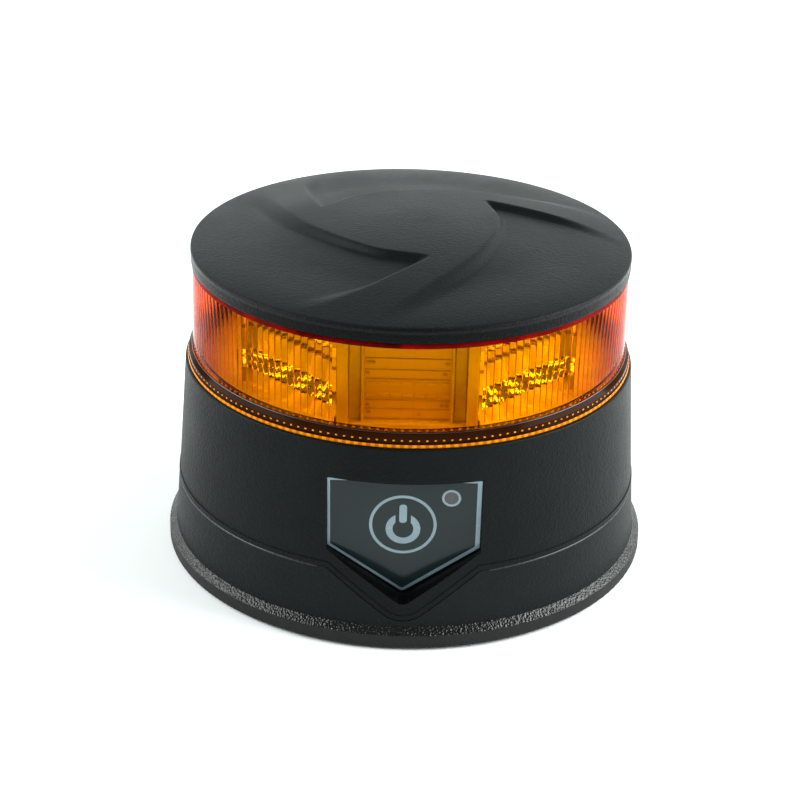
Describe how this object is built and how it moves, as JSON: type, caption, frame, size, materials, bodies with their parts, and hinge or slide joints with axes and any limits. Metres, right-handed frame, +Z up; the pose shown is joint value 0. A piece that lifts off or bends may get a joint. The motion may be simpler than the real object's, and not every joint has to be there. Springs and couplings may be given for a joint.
{
  "type": "magnetic warning beacon",
  "caption": "Round battery warning beacon with a domed black cap, a fluted amber lens, a front control panel and a magnetic rubber foot.",
  "frame": {"origin": "centre of the foot, on the surface that the beacon stands on", "axes": "+Z up along the beacon's axis; the control panel faces -Y; +X to the right as seen from the front"},
  "size_m": [0.135, 0.135, 0.096],
  "materials": {
    "black_housing": "fine-textured black moulded plastic",
    "black_cap": "satin black moulded plastic",
    "black_rubber": "black rubber, coarse glossy grain",
    "amber_lens": "clear amber plastic with vertical flutes inside",
    "optic_amber": "metallised faceted reflector seen through the lens",
    "panel_film": "glossy dark grey with pale blue-grey print",
    "light_window": "smoky clear plastic",
    "dark_metal": "plain machined aluminium",
    "cell_sleeve": "plastic-sleeved lithium cell",
    "magnet_plate": "nickel-plated neodymium",
    "steel": "zinc-plated steel",
    "black_screw": "black oxide steel",
    "circuit_board": "solder-masked circuit board",
    "white_board": "white solder-masked LED board",
    "emitter": "phosphor-domed LED package",
    "grey_component": "moulded electronic component",
    "silicone": "grey silicone seal",
    "tray_plastic": "dark grey plastic",
    "tab_nickel": "nickel strip",
    "red_wire": "silicone-insulated wire",
    "board_wire": "insulated wire"
  },
  "bodies": {
    "beacon": {"base_plate": "black_housing", "base_screws": "black_screw", "base_seal": "silicone", "base_skirt": "black_housing", "battery_cells": "cell_sleeve", "battery_leads": "red_wire", "battery_screws": "steel", "battery_tray": "tray_plastic", "cap_screws": "steel", "cap_seal": "silicone", "cell_tabs": "tab_nickel", "charge_board": "circuit_board", "charge_leads": "red_wire", "charge_socket": "steel", "driver_board": "circuit_board", "driver_components": "grey_component", "driver_screws": "steel", "foot_pad": "black_rubber", "foot_ring": "black_rubber", "housing": "black_housing", "keeper_plate": "steel", "lamp_leads": "board_wire", "led_board_1": "white_board", "led_board_2": "white_board", "led_board_3": "white_board", "led_board_4": "white_board", "led_board_5": "white_board", "led_board_6": "white_board", "led_board_7": "white_board", "led_board_8": "white_board", "led_emitters": "emitter", "led_tower": "dark_metal", "lens": "amber_lens", "lens_seal": "silicone", "magnets": "magnet_plate", "optic_1": "optic_amber", "optic_2": "optic_amber", "optic_3": "optic_amber", "optic_4": "optic_amber", "optic_5": "optic_amber", "optic_6": "optic_amber", "optic_7": "optic_amber", "optic_8": "optic_amber", "panel_leads": "board_wire", "panel_plate": "panel_film", "panel_seal": "silicone", "port_hinge_pin": "steel", "status_led": "emitter", "status_light_pipe": "light_window", "switch_board": "circuit_board", "switch_board_screws": "steel", "tact_switch": "grey_component", "top_cap": "black_cap", "tower_screws": "steel"},
    "power_button": {"power_key": "panel_film", "switch_plunger": "grey_component"},
    "port_flap": {"port_cover": "black_rubber"}
  },
  "joints": [
    {"name": "power_button_press", "type": "slide", "parent": "beacon", "child": "power_button", "axis": [0, 0.999, 0.0436], "range_m": [0, 0.0004], "stiffness_N_per_m": 800, "springref_m": -0.001},
    {"name": "port_cover_hinge", "type": "hinge", "parent": "beacon", "child": "port_flap", "pos_m": [0, 0.0622, 0.044], "axis": [1, 0, 0], "range_deg": [0, 110]}
  ]
}
